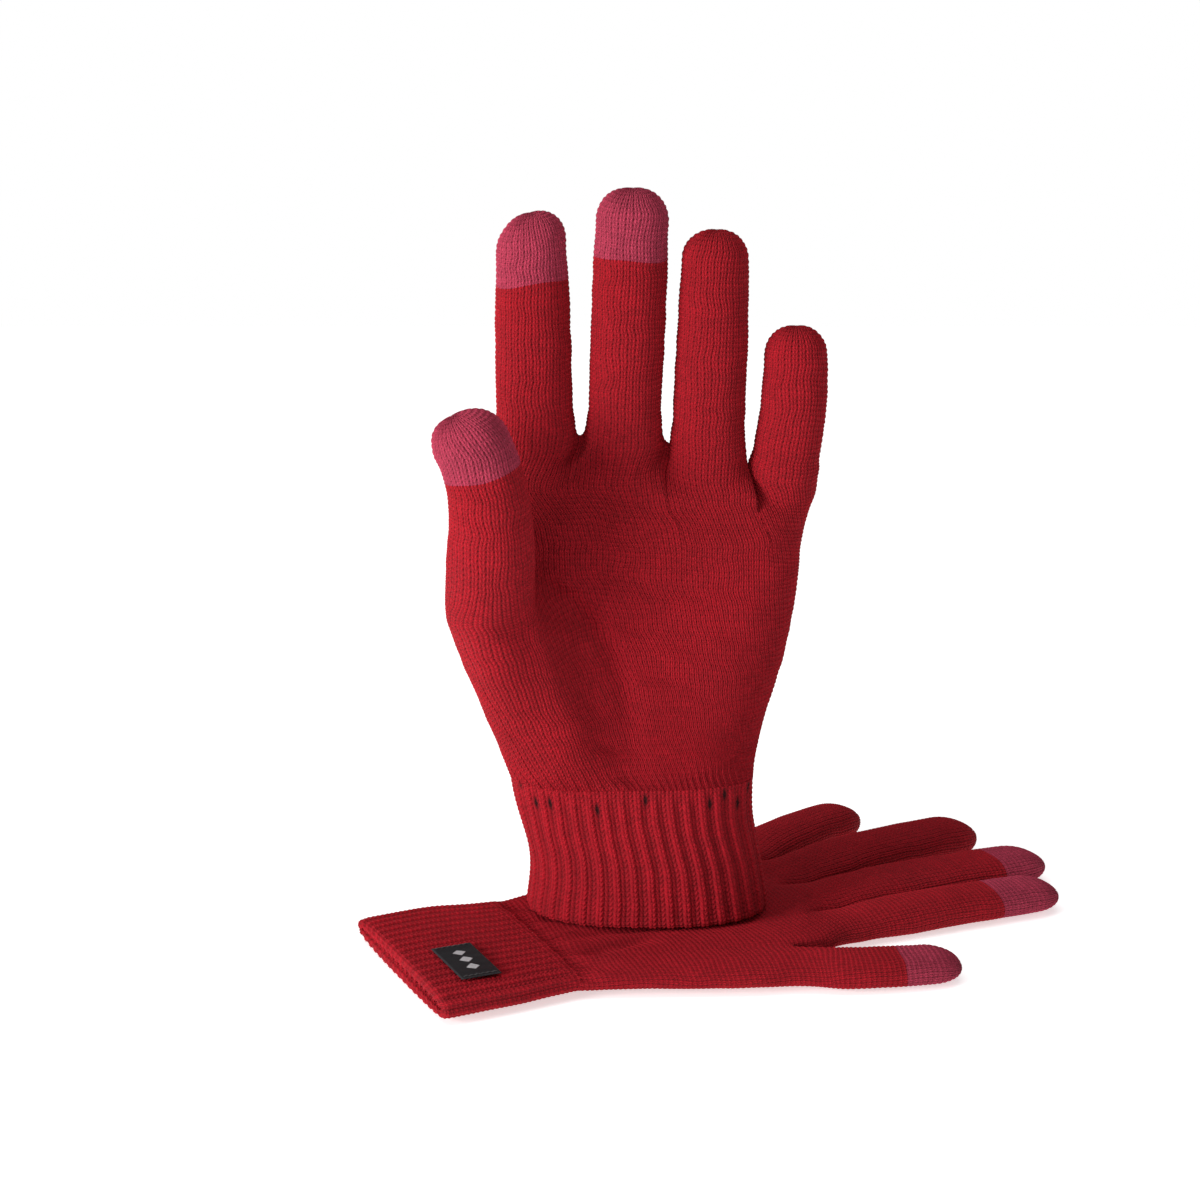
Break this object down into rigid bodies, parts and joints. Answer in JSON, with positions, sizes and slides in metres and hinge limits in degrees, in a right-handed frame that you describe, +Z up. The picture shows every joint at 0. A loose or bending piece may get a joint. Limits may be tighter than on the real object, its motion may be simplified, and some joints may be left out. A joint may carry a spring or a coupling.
{
  "type": "knitted gloves",
  "caption": "Pair of machine-knitted five-finger gloves with ribbed cuffs and touch-sensitive fingertips, one standing on the other.",
  "frame": {"origin": "on the table, on the flat underside of the lying glove's palm, straight under the middle of the standing glove's cuff", "axes": "+Z up; -Y the way the standing glove's palm faces; +X to its little-finger side"},
  "size_m": [0.2184, 0.1684, 0.2282],
  "materials": {
    "red_knit": "matt knitted acrylic yarn",
    "touch_knit": "knitted conductive yarn, slightly brighter",
    "elastic_yarn": "covered elastic yarn",
    "label_weave": "woven satin label",
    "label_thread": "sewing thread"
  },
  "bodies": {
    "lying_glove": {"lying_cuff_hem": "red_knit", "lying_cuff_rib": "red_knit", "lying_cuff_elastic": "elastic_yarn", "lying_palm": "red_knit", "label": "label_weave", "label_stitch_inner": "label_thread", "label_stitch_outer": "label_thread"},
    "lying_index_finger": {"lying_index": "red_knit", "lying_index_tip": "touch_knit"},
    "lying_middle_finger": {"lying_middle": "red_knit", "lying_middle_tip": "touch_knit"},
    "lying_ring_finger": {"lying_ring": "red_knit"},
    "lying_little_finger": {"lying_little": "red_knit"},
    "lying_thumb_finger": {"lying_thumb": "red_knit", "lying_thumb_tip": "touch_knit"},
    "standing_glove": {"standing_cuff_hem": "red_knit", "standing_cuff_rib": "red_knit", "standing_cuff_elastic": "elastic_yarn", "standing_palm": "red_knit"},
    "standing_index_root": {"standing_index_base": "red_knit"},
    "standing_index_far": {"standing_index_end": "red_knit", "standing_index_tip": "touch_knit"},
    "standing_middle_root": {"standing_middle_base": "red_knit"},
    "standing_middle_far": {"standing_middle_end": "red_knit", "standing_middle_tip": "touch_knit"},
    "standing_ring_root": {"standing_ring_base": "red_knit"},
    "standing_ring_far": {"standing_ring_end": "red_knit"},
    "standing_little_root": {"standing_little_base": "red_knit"},
    "standing_little_far": {"standing_little_end": "red_knit"},
    "standing_thumb_finger": {"standing_thumb": "red_knit", "standing_thumb_tip": "touch_knit"}
  },
  "joints": [
    {"name": "standing_glove_lift", "type": "slide", "parent": "lying_glove", "child": "standing_glove", "axis": [0, 0, 1], "range_m": [0, 0.25]},
    {"name": "lying_index_bend", "type": "hinge", "parent": "lying_glove", "child": "lying_index_finger", "pos_m": [0.06244, -0.00722, 0.0086], "axis": [0.3811, -0.9245, 0], "range_deg": [0, 75]},
    {"name": "lying_middle_bend", "type": "hinge", "parent": "lying_glove", "child": "lying_middle_finger", "pos_m": [0.05528, 0.01379, 0.0086], "axis": [0.4067, -0.9135, 0], "range_deg": [0, 75]},
    {"name": "lying_ring_bend", "type": "hinge", "parent": "lying_glove", "child": "lying_ring_finger", "pos_m": [0.04504, 0.03433, 0.0086], "axis": [0.5075, -0.8616, 0], "range_deg": [0, 75]},
    {"name": "lying_little_bend", "type": "hinge", "parent": "lying_glove", "child": "lying_little_finger", "pos_m": [0.03265, 0.05228, 0.0086], "axis": [0.6884, -0.7254, 0], "range_deg": [0, 75]},
    {"name": "lying_thumb_bend", "type": "hinge", "parent": "lying_glove", "child": "lying_thumb_finger", "pos_m": [0.04484, -0.04402, 0.008], "axis": [-0.0305, -0.9995, 0], "range_deg": [0, 75]},
    {"name": "standing_index_bend", "type": "hinge", "parent": "standing_glove", "child": "standing_index_root", "pos_m": [-0.0337, -0.01, 0.1517], "axis": [0.9999, 0, 0.0157], "range_deg": [0, 25]},
    {"name": "standing_index_curl", "type": "hinge", "parent": "standing_index_root", "child": "standing_index_far", "pos_m": [-0.03427, -0.00979, 0.1875], "axis": [0.9999, 0, 0.0157], "range_deg": [0, 60]},
    {"name": "standing_middle_bend", "type": "hinge", "parent": "standing_glove", "child": "standing_middle_root", "pos_m": [-0.00839, -0.01, 0.1517], "axis": [0.9991, 0, -0.0419], "range_deg": [0, 75]},
    {"name": "standing_middle_curl", "type": "hinge", "parent": "standing_middle_root", "child": "standing_middle_far", "pos_m": [-0.00668, -0.00979, 0.19246], "axis": [0.9991, 0, -0.0419], "range_deg": [0, 80]},
    {"name": "standing_ring_bend", "type": "hinge", "parent": "standing_glove", "child": "standing_ring_root", "pos_m": [0.01591, -0.0095, 0.1491], "axis": [0.999, 0, -0.0436], "range_deg": [0, 75]},
    {"name": "standing_ring_curl", "type": "hinge", "parent": "standing_ring_root", "child": "standing_ring_far", "pos_m": [0.01747, -0.0093, 0.18487], "axis": [0.999, 0, -0.0436], "range_deg": [0, 80]},
    {"name": "standing_little_bend", "type": "hinge", "parent": "standing_glove", "child": "standing_little_root", "pos_m": [0.03951, -0.009, 0.1424], "axis": [0.9982, 0, -0.0593], "range_deg": [0, 75]},
    {"name": "standing_little_curl", "type": "hinge", "parent": "standing_little_root", "child": "standing_little_far", "pos_m": [0.0408, -0.00883, 0.16416], "axis": [0.9982, 0, -0.0593], "range_deg": [0, 80]},
    {"name": "standing_thumb_swing", "type": "hinge", "parent": "standing_glove", "child": "standing_thumb_finger", "pos_m": [-0.06126, -0.02287, 0.10307], "axis": [0.0497, -0.9345, -0.3526], "range_deg": [0, 40]}
  ]
}
